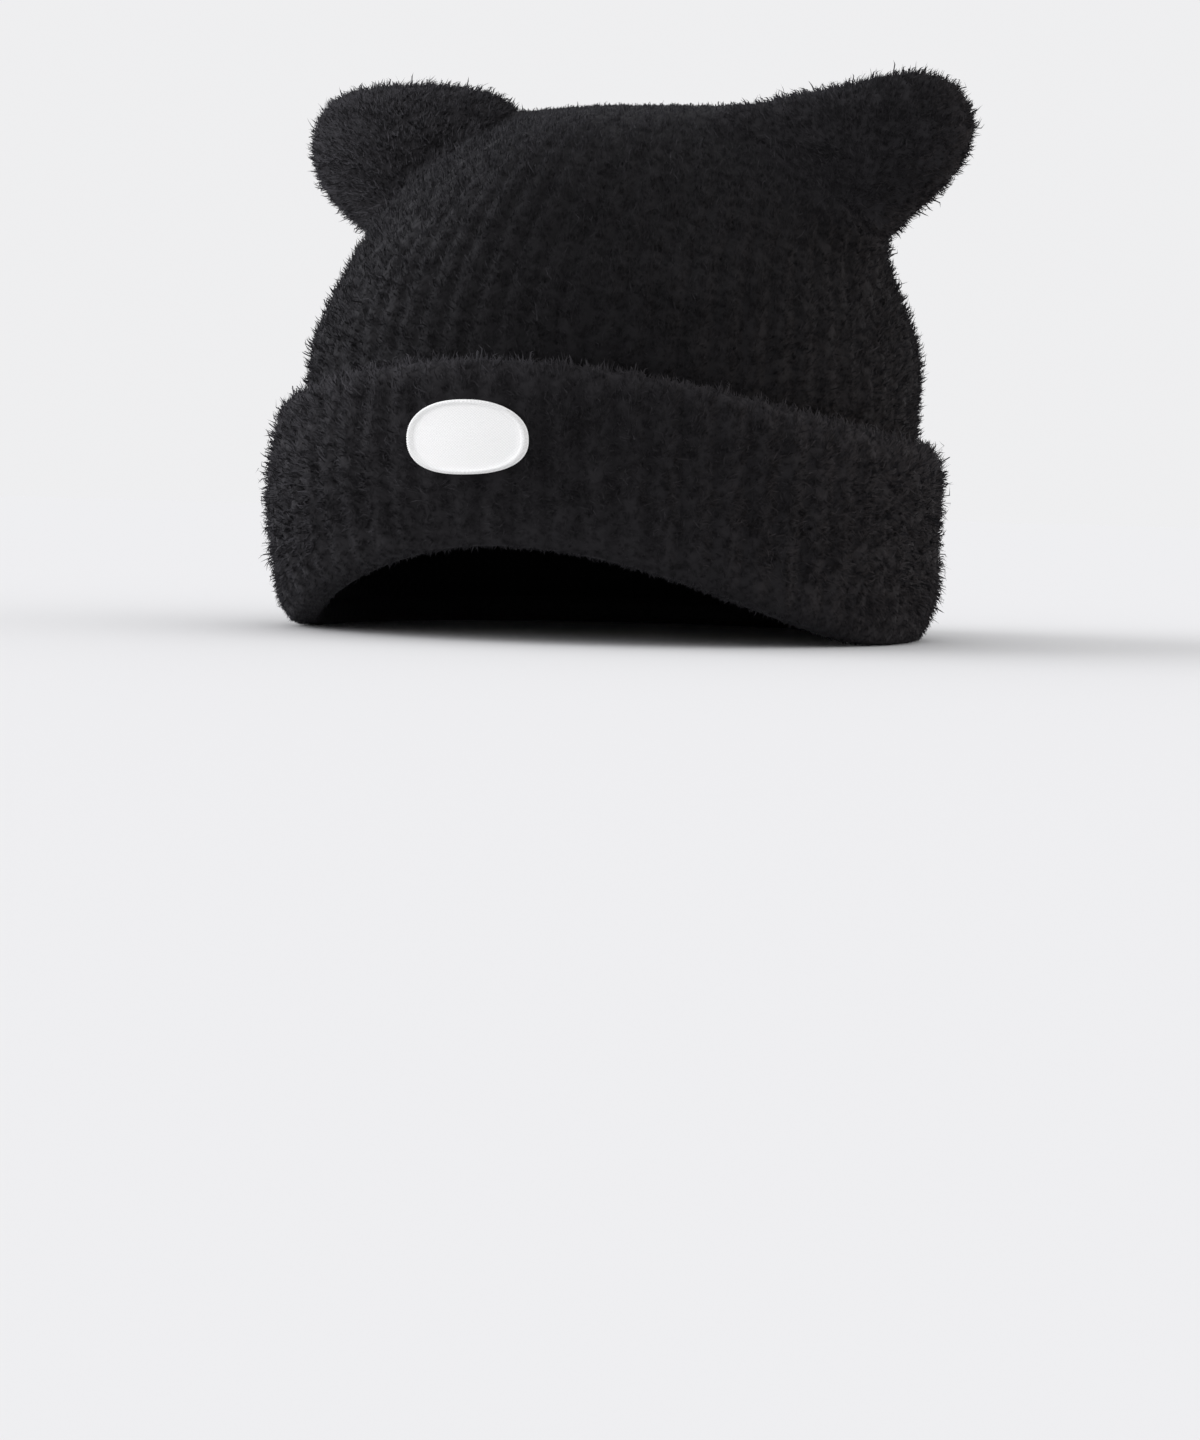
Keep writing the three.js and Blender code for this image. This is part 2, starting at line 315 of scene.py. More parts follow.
# Painted shade at the hairs' roots and painted light at their tips.
ROOT_PAINTED_SHADE = -0.08
TIP_PAINTED_LIGHT = 0.06

# The photograph's view, in degrees, metres and millimetres of lens.
CAMERA_AZIMUTH = 24.49
CAMERA_DISTANCE = 1.0085
CAMERA_HEIGHT = 0.0386
CAMERA_PITCH = 3.72
CAMERA_YAW = 0.11
CAMERA_ROLL = 1.49
CAMERA_LENS = 82
CAMERA_SENSOR = 36

# The studio: a wide pale floor under an even pale sky, with a very soft key light from the left.
FLOOR_HALF_WIDTH = 20000
FLOOR_COLOUR = (0.84, 0.84, 0.845)
FLOOR_ROUGHNESS = 0.9
SKY_COLOUR = (0.86, 0.86, 0.87)
KEY_FROM = (-0.87, -0.4, 0.29)
KEY_STRENGTH = 1.75
KEY_SPREAD = 60
KEY_COLOUR = (0.97, 0.97, 1)

# Two soft round lamps that light the hat alone: a cool one from the left
# and a weaker warm one from the right.
LAMP_SIZE = 0.5
LAMP_AIM = (0, 0, 0.1)
LAMPS = {
    "window": dict(strength=3.6, place=(-0.8, -0.03, 0.44), colour=(0.9, 0.91, 1)),
    "fill": dict(strength=1.7, place=(0.75, 0.35, 0.16), colour=(1, 0.8, 0.66)),
}


# The form of the hat.


def smooth(values, place):
    """A column of a table at places counted in rows, on a smooth curve through the rows."""
    last = len(values) - 1
    i = np.clip(np.floor(place).astype(int), 0, last - 1)
    t = place - i
    a, b, c, d = (values[np.clip(i + k, 0, last)] for k in (-1, 0, 1, 2))
    return b + 0.5 * t * (c - a + t * (2 * a - 5 * b + 4 * c - d + t * (3 * (b - c) + d - a)))


def lift(turn, height):
    """How far the lower edge is lifted off the floor across the front."""
    away = turn - FRONT_LIFT_TOWARDS
    share = np.minimum(1, np.abs(np.arctan2(np.sin(away), np.cos(away))) / FRONT_LIFT_SPREAD)
    fade = np.maximum(0, 1 - height / FRONT_LIFT_FADE_HEIGHT)
    return FRONT_LIFT * 0.5 * (1 + np.cos(np.pi * share)) * fade


def slant(turn, height):
    """How far the cuff is raised or lowered by its slant, from its fold up."""
    share = np.maximum(0, (height - FOLD_DEPTH) / (CUFF_HEIGHT - FOLD_DEPTH))
    return -CUFF_SLANT * share * np.cos(turn - CUFF_SLANT_TOWARDS)


def back(height):
    """How far the crown leans back at a height."""
    return BACK_LEAN * np.maximum(0, (height - CUFF_HEIGHT) / (HAT_HEIGHT - CUFF_HEIGHT)) ** 2


def rib_wave(turn):
    """The ribs round the hat, from 1 on a broad crest to -1 in a narrow groove."""
    return 1 - 2 * np.abs(np.sin(0.5 * RIB_COUNT * turn)) ** RIB_EDGE


def section_points(turn, half_width, half_depth, lens, height):
    """Points of oval or lens sections."""
    pointed = 1 - np.abs(np.cos(turn)) ** LENS_POWER
    share = np.sign(np.sin(turn)) * ((1 - lens) * np.abs(np.sin(turn)) + lens * pointed)
    return np.stack([
        half_width * np.cos(turn),
        half_depth * share + back(height),
        height + lift(turn, height),
    ], axis=-1)


def crown_points(turn, place, grow=0.0, ribs=1.0):
    """Points of the crown's outside at places in its table."""
    row = {name: smooth(values, place) for name, values in CROWN.items()}
    rise = np.maximum(0, (row["height"] - CUFF_HEIGHT) / (HAT_HEIGHT - CUFF_HEIGHT))
    turned = turn + ribs * RIB_TWIST * rise * np.abs(np.sin(turn))
    spread = 1 - row["lens"] * (1 - np.abs(np.sin(turned)))
    out = grow + ribs * RIB_RELIEF * row["rib"] * spread * rib_wave(turn)
    below_seam = row["height"] < HAT_HEIGHT - SEAM_DEPTH
    half_width = OPENING_HALF_WIDTH + row["grow_x"] + out
    half_depth = np.maximum(0, OPENING_HALF_DEPTH + row["grow_y"] + out * below_seam)
    return section_points(turned, half_width, half_depth, row["lens"], row["height"])


def hollow_points(turn, place):
    """Points of the crown's inside."""
    row = {name: smooth(values, place) for name, values in HOLLOW.items()}
    half_depth = np.maximum(0, row["half_depth"])
    return section_points(turn, row["half_width"], half_depth, row["lens"], row["height"])


def cuff_points(turn, height, out):
    """Points of the cuff, out from the crown's oval at that height."""
    place = np.interp(height, CROWN["height"], np.arange(len(CROWN["height"])))
    half_width = OPENING_HALF_WIDTH + smooth(CROWN["grow_x"], place)
    half_depth = OPENING_HALF_DEPTH + smooth(CROWN["grow_y"], place)
    square_x = half_depth * np.cos(turn)
    square_y = half_width * np.sin(turn)
    length = np.hypot(square_x, square_y)
    return np.stack([
        half_width * np.cos(turn) + out * square_x / length,
        half_depth * np.sin(turn) + out * square_y / length,
        height + lift(turn, height) + slant(turn, height),
    ], axis=-1)


def signed_power(value, power):
    """A power that keeps the sign."""
    return np.sign(value) * np.abs(value) ** power


def unit(vectors):
    """Vectors of length 1."""
    return vectors / np.maximum(SMALLEST_LENGTH, np.linalg.norm(vectors, axis=-1, keepdims=True))


def grid_faces(rows, columns, closed_rows=False):
    """Triangles of a grid of points that closes round its columns, and round its rows if asked."""
    i, j = np.meshgrid(np.arange(rows if closed_rows else rows - 1), np.arange(columns), indexing="ij")
    k = (j + 1) % columns
    n = (i + 1) % rows
    a, b, c, d = i * columns + j, i * columns + k, n * columns + k, n * columns + j
    one_half, other_half = np.stack([a, b, c], -1), np.stack([a, c, d], -1)
    return np.concatenate([one_half.reshape(-1, 3), other_half.reshape(-1, 3)])


def vertex_normals(points, triangles):
    """Smooth normals, one for each point."""
    a, b, c = (points[triangles[:, k]] for k in range(3))
    face = np.cross(b - a, c - a)
    normals = np.zeros_like(points)
    for k in range(3):
        np.add.at(normals, triangles[:, k], face)
    return unit(normals)


# Meshes and materials.


def mesh_object(name, points, triangles, material, uv=None, uv_name="Knit"):
    """A smooth mesh from points in millimetres, triangles and a UV place for each point."""
    mesh = bpy.data.meshes.new(name)
    count = len(triangles)
    mesh.vertices.add(len(points))
    mesh.vertices.foreach_set("co", (points * MM).astype(np.float32).ravel())
    mesh.loops.add(count * 3)
    mesh.loops.foreach_set("vertex_index", triangles.astype(np.int32).ravel())
    mesh.polygons.add(count)
    mesh.polygons.foreach_set("loop_start", np.arange(0, count * 3, 3, dtype=np.int32))
    mesh.polygons.foreach_set("use_smooth", np.ones(count, bool))
    if uv is not None:
        layer = mesh.uv_layers.new(name=uv_name)
        layer.uv.foreach_set("vector", uv[triangles.ravel()].astype(np.float32).ravel())
    mesh.update(calc_edges=True)
    mesh.materials.append(material)
    piece = bpy.data.objects.new(name, mesh)
    bpy.context.scene.collection.objects.link(piece)
    return piece


def new_material(name):
    """A material with nodes, and its shader."""
    material = bpy.data.materials.new(name)
    material.use_nodes = True
    return material, material.node_tree, material.node_tree.nodes["Principled BSDF"]


def add_node(tree, kind, **settings):
    """A node with its properties and its sockets' values set by name."""
    node = tree.nodes.new(kind)
    for key, value in settings.items():
        if key in node.inputs:
            node.inputs[key].default_value = value
        else:
            setattr(node, key, value)
    return node


def math_node(tree, operation, a, b=None):
    """A math node's result, from links or numbers."""
    node = add_node(tree, "ShaderNodeMath", operation=operation)
    for socket, value in zip(node.inputs, (a, b)):
        if isinstance(value, (int, float)):
            socket.default_value = value
        elif value is not None:
            tree.links.new(value, socket)
    return node.outputs[0]


def colour_ramp(tree, factor, stops):
    """A ramp's colour, from (place, colour) stops."""
    ramp = add_node(tree, "ShaderNodeValToRGB")
    elements = ramp.color_ramp.elements
    for element, (place, colour) in zip((elements[0], elements[1]), (stops[0], stops[-1])):
        element.position = place
        element.color = (*colour, 1)
    for place, colour in stops[1:-1]:
        elements.new(place).color = (*colour, 1)
    tree.links.new(factor, ramp.inputs["Fac"])
    return ramp.outputs["Color"]


def add_bump(tree, shader, height, strength, depth):
    """A bump of that depth in metres, from a height of 0 to 1."""
    bump = add_node(tree, "ShaderNodeBump", Strength=strength, Distance=depth)
    tree.links.new(height, bump.inputs["Height"])
    tree.links.new(bump.outputs[0], shader.inputs["Normal"])


def yarn_finish(shader):
    """The dull soft gloss of brushed yarn, the same all over."""
    shader.inputs["Roughness"].default_value = YARN_ROUGHNESS
    shader.inputs["Specular IOR Level"].default_value = YARN_SPECULAR
    shader.inputs["Sheen Weight"].default_value = YARN_SHEEN
    shader.inputs["Sheen Roughness"].default_value = YARN_SHEEN_ROUGHNESS
    shader.inputs["Sheen Tint"].default_value = (*YARN_SHEEN_TINT, 1)


def knit_material():
    """Black knitted yarn under the pile: slanted stitches in rows along the ribs, with painted shade
    where the stitches sink.
    """
    material, tree, shader = new_material("yarn_knit")
    places = add_node(tree, "ShaderNodeSeparateXYZ")
    tree.links.new(add_node(tree, "ShaderNodeUVMap", uv_map="Knit").outputs[0], places.inputs[0])
    wales = math_node(tree, "MULTIPLY", places.outputs["X"], WALES_PER_RIB)
    zigzag = math_node(tree, "PINGPONG", wales, 0.5)
    row = math_node(tree, "ADD", places.outputs["Y"], zigzag)
    along = math_node(tree, "SINE", math_node(tree, "MULTIPLY", row, math.pi))
    stitch = math_node(tree, "ABSOLUTE", along)
    wale = math_node(tree, "SINE", math_node(tree, "MULTIPLY", zigzag, math.pi))
    height = math_node(tree, "MULTIPLY", stitch, math_node(tree, "SQRT", wale))
    add_bump(tree, shader, height, KNIT_BUMP_STRENGTH, KNIT_BUMP_DEPTH)
    tone = add_node(tree, "ShaderNodeAttribute", attribute_name="tone").outputs["Fac"]
    # Painted shade: the knit is darker where the stitches' height is low.
    stitch_shade = math_node(tree, "MULTIPLY", math_node(tree, "SUBTRACT", height, 1), STITCH_PAINTED_SHADE)
    colour = yarn_colour(tree, math_node(tree, "ADD", tone, stitch_shade))
    tree.links.new(colour, shader.inputs["Base Color"])
    yarn_finish(shader)
    return material


def pile_material():
    """The hairs of the pile, with painted shade at their roots and painted light towards their tips, and
    a little different from tuft to tuft.
    """
    material, tree, shader = new_material("yarn_pile")
    tone = add_node(tree, "ShaderNodeAttribute", attribute_name="tone").outputs["Fac"]
    tree.links.new(yarn_colour(tree, tone), shader.inputs["Base Color"])
    tree.links.new(outward_normal(tree), shader.inputs["Normal"])
    yarn_finish(shader)
    return material


def outward_normal(tree):
    """The surface's own normal on both sides of a face, so that no hair turns dark on its underside."""
    surface = add_node(tree, "ShaderNodeNewGeometry")
    side = math_node(tree, "SUBTRACT", 1, math_node(tree, "MULTIPLY", surface.outputs["Backfacing"], 2))
    turned = add_node(tree, "ShaderNodeVectorMath", operation="SCALE")
    tree.links.new(surface.outputs["Normal"], turned.inputs[0])
    tree.links.new(side, turned.inputs["Scale"])
    return turned.outputs[0]


def yarn_colour(tree, tone):
    """The yarn's colour at a tone."""
    return colour_ramp(tree, tone, [(0, YARN_DARK), (0.5, YARN_MID), (1, YARN_LIGHT)])


def patch_material():
    """Plain white cloth with a fine weave, with painted shade where the weave sinks."""
    material, tree, shader = new_material("patch_cloth")
    places = add_node(tree, "ShaderNodeSeparateXYZ")
    tree.links.new(add_node(tree, "ShaderNodeUVMap", uv_map="Weave").outputs[0], places.inputs[0])
    across, along = (
        math_node(tree, "SINE", math_node(tree, "MULTIPLY", places.outputs[axis], 2 * math.pi))
        for axis in "XY"
    )
    weave = math_node(tree, "MULTIPLY", across, along)
    height = math_node(tree, "ADD", math_node(tree, "MULTIPLY", weave, 0.5), 0.5)
    add_bump(tree, shader, height, PATCH_BUMP_STRENGTH, PATCH_BUMP_DEPTH)
    # Painted shade: the cloth is darker where the weave's height is low.
    colour = colour_ramp(tree, height, [(0, PATCH_WEAVE_SHADED), (1, PATCH_WEAVE_LIT)])
    tree.links.new(colour, shader.inputs["Base Color"])
    shader.inputs["Roughness"].default_value = PATCH_ROUGHNESS
    return material


def floor_material():
    """A plain pale floor."""
    material, _, shader = new_material("floor")
    shader.inputs["Base Color"].default_value = (*FLOOR_COLOUR, 1)
    shader.inputs["Roughness"].default_value = FLOOR_ROUGHNESS
    shader.inputs["Specular IOR Level"].default_value = 0
    return material


# The skins of the crown, the cuff, the ears and the patch.


def softness(turn, height):
    """How far the soft knit's slow waves move the surface out."""
    waves = zip(*SOFT_WAVES.values())
    return sum(
        size * np.sin(around * turn + rise * height + start)
        for size, around, rise, start in waves
    )


def hang(turn, height, slack):
    """How far the knit's hanging to one side and its swelling move the surface out."""
    sideways, swell = (np.interp(height, slack["height"], slack[name]) for name in ("sideways", "swell"))
    return np.cos(turn) * sideways + np.cos(turn) ** 2 * swell


def stitches(turn, path):
    """UV places that count the ribs round the hat and the stitches along them."""
    return np.stack([turn * RIB_COUNT / (2 * np.pi), path / STITCH_HEIGHT], axis=-1).reshape(-1, 2)


def set_tone(piece, tones):
    """Keeps the yarn's tone at a piece's points."""
    attribute = piece.data.attributes.new("tone", "FLOAT", "POINT")
    attribute.data.foreach_set("value", np.asarray(tones, np.float32))


def weld(piece):
    """Joins the points of a piece that meet, as along the seam on top."""
    work = bmesh.new()
    work.from_mesh(piece.data)
    bmesh.ops.remove_doubles(work, verts=work.verts, dist=WELD_DISTANCE)
    work.to_mesh(piece.data)
    work.free()


def make_crown(material):
    """The crown: its outside from the seam down, round its lower end and up the hollow."""
    turn, place = np.meshgrid(TURNS, CROWN_PLACES)
    height = smooth(CROWN["height"], place)
    from_ends = np.minimum(height - CUFF_HEIGHT, HAT_HEIGHT - height)
    free = np.clip(from_ends / WAVES_EASE, 0, 1)
    slack = softness(turn, height) * free + hang(turn, height, CROWN_SLACK)
    outside = crown_with_fillets(crown_points(turn, place, slack).reshape(-1, 3))
    crest = (rib_wave(turn) * smooth(CROWN["rib"], place)).ravel()
    # The crown's tone is painted darker than the ears' as shade and runs into their lighter tone near
    # them; rib crests are painted lighter than grooves, as shade in the grooves.
    tones = CROWN_PAINTED_SHADE_TONE + (EAR_PAINTED_LIGHT_TONE - CROWN_PAINTED_SHADE_TONE) * near_ears(outside) + RIB_PAINTED_SHADE * crest
    inner_turn, inner_place = np.meshgrid(TURNS, HOLLOW_PLACES)
    inside = hollow_points(inner_turn, inner_place)
    points = np.vstack([outside, inside.reshape(-1, 3)])
    turns = np.vstack([turn, inner_turn])
    paths = np.vstack([-height, smooth(HOLLOW["height"], inner_place)])
    triangles = grid_faces(len(turns), len(TURNS))[:, ::-1]
    piece = mesh_object("crown_skin", points, triangles, material, stitches(turns, paths))
    set_tone(piece, np.concatenate([tones, np.full(inner_turn.size, CROWN_PAINTED_SHADE_TONE)]))
    weld(piece)
    outer = grid_faces(len(CROWN_PLACES), len(TURNS))[:, ::-1]
    return piece, outside, outer, crest, tones


def make_cuff(material):
    """The cuff: one closed loop round its wall, with a soft uneven crest."""
    rows = len(CUFF["height"])
    places = np.concatenate([
        np.linspace(0, CUFF_ROUNDED_ROWS, CUFF_ROWS),
        np.arange(CUFF_ROUNDED_ROWS + 1, rows),
    ])
    rounded = places <= CUFF_ROUNDED_ROWS
    row = {
        name: np.where(rounded, smooth(values, places), np.interp(places, np.arange(rows), values))
        for name, values in CUFF.items()
    }
    turn, height = np.meshgrid(TURNS, np.maximum(0, row["height"]))
    rib, out = row["rib"][:, None], row["out"][:, None]
    free = np.clip((height - CUFF_WAVES_FROM) / WAVES_EASE, 0, 1) * (out > CUFF_CREST_OUT)
    slack = softness(turn, height) * free + hang(turn, height, CUFF_SLACK)
    crest = rib_wave(turn) * rib
    # Painted highlight: the cuff is painted lighter towards its crest, where the fold catches the light.
    light = CREST_PAINTED_HIGHLIGHT * np.clip(1 - (CUFF_HEIGHT - height) / CREST_HIGHLIGHT_DEPTH, 0, 1)
    # The cuff's tone is painted lighter than the crown's as painted light, and its ribs' grooves darker
    # as painted shade.
    tones = (CUFF_PAINTED_LIGHT_TONE + light + RIB_PAINTED_SHADE * crest).ravel()
    points = cuff_points(turn, height, out + RIB_RELIEF * crest + slack).reshape(-1, 3)
    triangles = grid_faces(len(places), len(TURNS), True)[:, ::-1]
    path = np.broadcast_to(-row["height"][:, None], turn.shape)
    piece = mesh_object("cuff_skin", points, triangles, material, stitches(turn, path))
    set_tone(piece, tones)
    outer = grid_faces(int(rounded.sum()), len(TURNS))[:, ::-1]
    return piece, points, outer, crest.ravel(), tones


def ear_skin(side, outline):
    """Points and triangles of an ear's whole skin, closed by a point on its front and its back."""
    around, across = EAR_AROUND, EAR_ACROSS
    rows = len(outline["out"])
    lead = 2
    place = np.arange(around) * rows / around + lead
    loop = {
        name: smooth(np.concatenate([values[-lead:], values, values[:lead + 1]]), place)
        for name, values in outline.items()
    }
    lean = np.pi * np.arange(1, across)[:, None] / across
    share = np.sin(lean) ** (2 / EAR_EDGE_POWER)
    reach_out = (loop["out"] - EAR_MIDDLE_OUT) * share
    reach_up = (loop["up"] - EAR_MIDDLE_UP) * share
    thick = EAR_HALF_THICKNESS * (1 - EAR_TAPER_PER_MM * reach_out)
    depth = thick * signed_power(np.cos(lean), 2 / EAR_EDGE_POWER)
    middle = np.array([side * EAR_MIDDLE_OUT, back(EAR_MIDDLE_UP), EAR_MIDDLE_UP])
    skin = np.stack([side * reach_out, -side * depth, reach_up], axis=-1).reshape(-1, 3)
    poles = np.array([(0, -side * EAR_HALF_THICKNESS, 0), (0, side * EAR_HALF_THICKNESS, 0)])
    points = middle + np.vstack([skin, poles])
    first, last = len(skin), len(skin) + 1
    ring = np.arange(around)
    after = (ring + 1) % around
    end = (across - 2) * around
    triangles = np.concatenate([
        grid_faces(across - 1, around),
        np.stack([after, ring, np.full(around, first)], -1),
        np.stack([end + ring, end + after, np.full(around, last)], -1),
    ])
    return points, triangles


def depth_in_crown(points):
    """How far points lie inside the crown's front or back, in millimetres along Y."""
    place = np.interp(points[:, 2], CROWN["height"], np.arange(len(CROWN["height"])))
    row = {name: smooth(values, place) for name, values in CROWN.items()}
    half_width = OPENING_HALF_WIDTH + row["grow_x"]
    along = np.minimum(1, np.abs(points[:, 0]) / half_width)
    share = (1 - row["lens"]) * np.sqrt(1 - along ** 2) + row["lens"] * (1 - along ** LENS_POWER)
    past_side = np.maximum(0, np.abs(points[:, 0]) - half_width)
    past_top = np.maximum(0, points[:, 2] - HAT_HEIGHT)
    past_edge = OVER_EDGE_STEEPNESS * (past_side + past_top)
    half_depth = (OPENING_HALF_DEPTH + row["grow_y"]) * share
    return half_depth - past_edge - np.abs(points[:, 1] - back(points[:, 2]))


def depth_in_ear(points, side, outline):
    """How far points lie inside an ear's front or back, in millimetres along Y."""
    out = points[:, 0] * side - EAR_MIDDLE_OUT
    up = points[:, 2] - EAR_MIDDLE_UP
    bearing = np.arctan2(outline["up"] - EAR_MIDDLE_UP, outline["out"] - EAR_MIDDLE_OUT)
    reach = np.hypot(outline["up"] - EAR_MIDDLE_UP, outline["out"] - EAR_MIDDLE_OUT)
    order = np.argsort(bearing)
    edge = np.interp(np.arctan2(up, out), bearing[order], reach[order], period=2 * np.pi)
    share = np.hypot(out, up) / edge
    thick = EAR_HALF_THICKNESS * (1 - EAR_TAPER_PER_MM * out)
    within = np.maximum(0, 1 - share ** EAR_EDGE_POWER) ** (1 / EAR_EDGE_POWER)
    past_edge = np.maximum(0, share - 1) * edge * OVER_EDGE_STEEPNESS
    return thick * within - past_edge - np.abs(points[:, 1] - back(EAR_MIDDLE_UP))


def filleted(points, other_depths):
    """Points moved to the front or back where their surface meets another, so that the two run together.

    other_depths says how far the points lie inside the other form along Y."""
    way = np.sign(points[:, 1] - back(points[:, 2]))
    swell = np.maximum(0, EAR_FILLET - np.abs(other_depths)) ** 2 / (4 * EAR_FILLET)
    return points + np.stack([np.zeros(len(points)), way * swell, np.zeros(len(points))], axis=-1)


def crown_with_fillets(points):
    """The crown's points, run out into the ears and swollen a little under them."""
    for side, outline in EARS.values():
        points = filleted(points, depth_in_ear(points, side, outline))
    below = np.exp(-((points[:, 2] - EAR_ROOT_HEIGHT) / EAR_ROOT_REACH) ** 2)
    beside = np.exp(-((points[:, 1] - back(EAR_MIDDLE_UP)) / EAR_ROOT_DEPTH) ** 2)
    swell = EAR_ROOT_SWELL * below * beside * np.sign(points[:, 0])
    return points + np.stack([swell, np.zeros(len(points)), np.zeros(len(points))], axis=-1)


def make_ear(name, side, outline, material):
    """An ear: its skin, cut off where it meets the crown."""
    points, triangles = ear_skin(side, outline)
    points = filleted(points, depth_in_crown(points))
    uv = np.stack([points[:, 0] / RIB_WIDTH, points[:, 2] / STITCH_HEIGHT], axis=-1)
    piece = mesh_object(name + "_skin", points, triangles, material, uv)
    turn, place = np.meshgrid(TURNS[::SAMPLES_PER_RIB], CROWN_PLACES[::CUTTER_STEP])
    room = crown_with_fillets(crown_points(turn, place, RIB_RELIEF + SEAT_GAP, 0).reshape(-1, 3))
    foot = len(room)
    ring = foot - turn.shape[1] + np.arange(turn.shape[1])
    cap = np.stack([ring, np.roll(ring, -1), np.full(len(ring), foot)], -1)
    room_triangles = np.concatenate([grid_faces(*turn.shape), cap])[:, ::-1]
    cutter = mesh_object("crown_room", np.vstack([room, (0, 0, FOLD_DEPTH)]), room_triangles, material)
    weld(cutter)
    cut = piece.modifiers.new("cut", "BOOLEAN")
    cut.operation = "DIFFERENCE"
    cut.object = cutter
    bpy.context.view_layer.update()
    whole = piece.data
    graph = bpy.context.evaluated_depsgraph_get()
    piece.data = bpy.data.meshes.new_from_object(piece.evaluated_get(graph))
    piece.modifiers.clear()
    piece.data.name = piece.name
    bpy.data.meshes.remove(whole)
    bpy.data.meshes.remove(cutter.data)
    # The ears' tone is painted lighter than the crown's, as painted light.
    set_tone(piece, np.full(len(piece.data.vertices), EAR_PAINTED_LIGHT_TONE))
    outside = depth_in_crown(points[triangles].mean(axis=1)) < EAR_PILE_OVERLAP
    return piece, points, triangles[outside]


def patch_points(turn, share, out):
    """Points of the patch, on an oval laid over the cuff's front, and their places on the flat cloth."""
    power = 2 / PATCH_SQUARENESS
    x = PATCH_CENTRE_X + 0.5 * PATCH_WIDTH * share * signed_power(np.cos(turn), power)
    height = PATCH_CENTRE_HEIGHT + 0.5 * PATCH_HEIGHT * share * signed_power(np.sin(turn), power)
    place = np.interp(height, CROWN["height"], np.arange(len(CROWN["height"])))
    girth = OPENING_HALF_WIDTH + smooth(CROWN["grow_x"], place) + PATCH_SEAT
    points = cuff_points(FRONT + np.arcsin(x / girth), height, PATCH_SEAT + out)
    return points, np.stack([x, height], axis=-1)


def make_patch(material):
    """The patch: plain cloth with an oversewn edge."""
    face_shares = np.linspace(PATCH_CENTRE_SHARE, PATCH_EDGE_SHARE, PATCH_FACE_ROWS)
    face = [(share, PATCH_THICKNESS) for share in face_shares]
    edge = []
    for swell in np.linspace(0, math.pi, PATCH_EDGE_ROWS)[1:]:
        share = PATCH_EDGE_SHARE + (1 - PATCH_EDGE_SHARE) * 0.5 * (1 - math.cos(swell))
        rounded = PATCH_EDGE_THICKNESS * (0.5 + 0.5 * math.sin(swell))
        edge.append((share, rounded if swell < PATCH_TURN_UNDER else PATCH_SIDE_THICKNESS))
    under = [(share, 0) for share in PATCH_UNDER_SHARES]
    rings = np.array(face + edge + under)
    samples = SAMPLES_PER_PATCH_STITCH * PATCH_STITCHES
    turn, share = np.meshgrid(np.arange(samples) * 2 * np.pi / samples, rings[:, 0])
    on_edge = np.clip((share - PATCH_EDGE_SHARE) / (1 - PATCH_EDGE_SHARE), 0, 1)
    wave = np.sin(PATCH_STITCHES * turn + PATCH_THREAD_SLANT * on_edge)
    thread = PATCH_THREAD * wave * np.sin(np.pi * on_edge)
    out = rings[:, 1][:, None]
    points, flat = patch_points(turn, share, out + thread * (out > 0))
    triangles = grid_faces(*turn.shape)[:, ::-1]
    weave = flat.reshape(-1, 2) / PATCH_WEAVE
    return mesh_object("patch_face", points.reshape(-1, 3), triangles, material, weave, "Weave")


# The pile.


def scatter(points, triangles, weight, count):
    """Random places on a surface: triangles and the shares of their corners."""
    a, b, c = (points[triangles[:, k]] for k in range(3))
    area = np.linalg.norm(np.cross(b - a, c - a), axis=-1)
    chance = area * weight
    picks = RANDOM.choice(len(triangles), count, p=chance / chance.sum())
    far, side = np.sqrt(RANDOM.random(count)), RANDOM.random(count)
    shares = np.stack([1 - far, far * (1 - side), far * side], axis=-1)
    return triangles[picks], shares


def blend(values, corners, shares):
    """Values of the points, blended at scattered places."""
    shares = shares if values.ndim == 1 else shares[..., None]
    return (values[corners] * shares).sum(axis=1)


